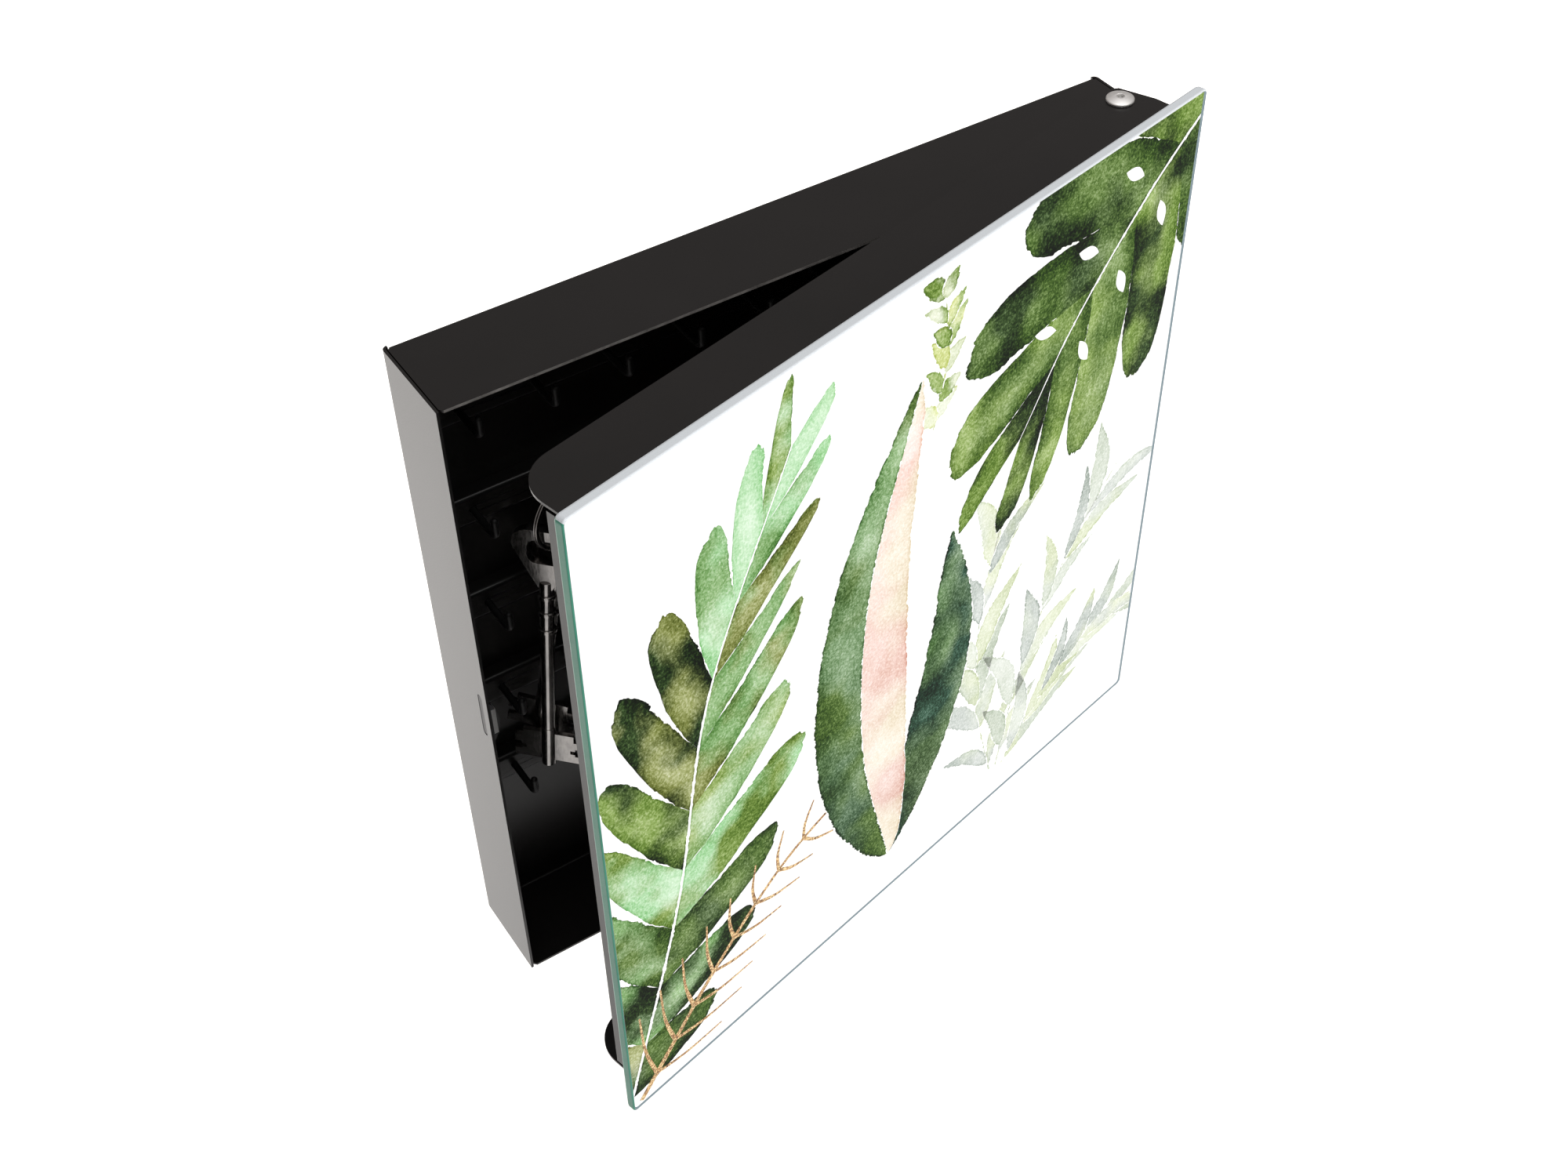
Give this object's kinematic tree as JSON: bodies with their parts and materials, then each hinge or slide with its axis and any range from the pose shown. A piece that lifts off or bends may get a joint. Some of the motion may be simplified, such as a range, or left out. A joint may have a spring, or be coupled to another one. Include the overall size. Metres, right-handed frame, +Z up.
{
  "type": "key cabinet",
  "caption": "Wall-mounted square key cabinet: folded black steel box with hook rails, and a magnetic door faced with a printed glass panel that turns on two rivets.",
  "frame": {"origin": "centre of the wall-hole pattern, on the back face of the box (the wall plane)", "axes": "+X towards the hinge side, -Y out of the wall towards the door, +Z up"},
  "size_m": [0.2952, 0.1106, 0.3],
  "materials": {
    "black_powder_coat": "fine matte powder coat",
    "black_hook_wire": "glossy black lacquer",
    "black_plastic": "moulded matte",
    "magnet_nickel": "nickel plated",
    "zinc_steel": "zinc plated",
    "rivet_aluminium": "satin",
    "foam_tape": "closed-cell foam",
    "printed_ink": "printed ink on glass",
    "tempered_glass": "clear, polished, ground edges",
    "clear_rubber": "soft clear elastomer",
    "key_nickel": "worn nickel plate"
  },
  "bodies": {
    "cabinet": {"box_shell": "black_powder_coat", "hook_rail_1": "black_powder_coat", "hook_rail_2": "black_powder_coat", "hook_rail_3": "black_powder_coat", "hook_rail_4": "black_powder_coat", "hook_rail_5": "black_powder_coat", "hooks_row_1": "black_hook_wire", "hooks_row_2": "black_hook_wire", "hooks_row_3": "black_hook_wire", "hooks_row_4": "black_hook_wire", "hooks_row_5": "black_hook_wire", "catch_holder": "black_plastic", "catch_magnet": "magnet_nickel", "spacer_washer_top": "black_plastic", "spacer_washer_bottom": "black_plastic", "backing_washer_top": "zinc_steel", "backing_washer_bottom": "zinc_steel", "pivot_rivet_top": "rivet_aluminium", "pivot_rivet_bottom": "rivet_aluminium", "rivet_mandrels": "zinc_steel"},
    "door": {"door_pan": "black_powder_coat", "mounting_tape": "foam_tape", "print_layer": "printed_ink", "glass_panel": "tempered_glass", "bumper_top": "clear_rubber", "bumper_bottom": "clear_rubber"},
    "key_bunch": {"key_ring": "key_nickel", "long_key": "key_nickel", "short_key": "key_nickel"}
  },
  "joints": [
    {"name": "door_hinge", "type": "hinge", "parent": "cabinet", "child": "door", "pos_m": [0.1342, -0.0205, 0], "axis": [0, 0, 1], "range_deg": [-13.4, 81.6]},
    {"name": "key_bunch_swing", "type": "hinge", "parent": "cabinet", "child": "key_bunch", "pos_m": [-0.0945, -0.016, 0.0703], "axis": [0, 1, 0], "range_deg": [-1, 3.5]}
  ]
}
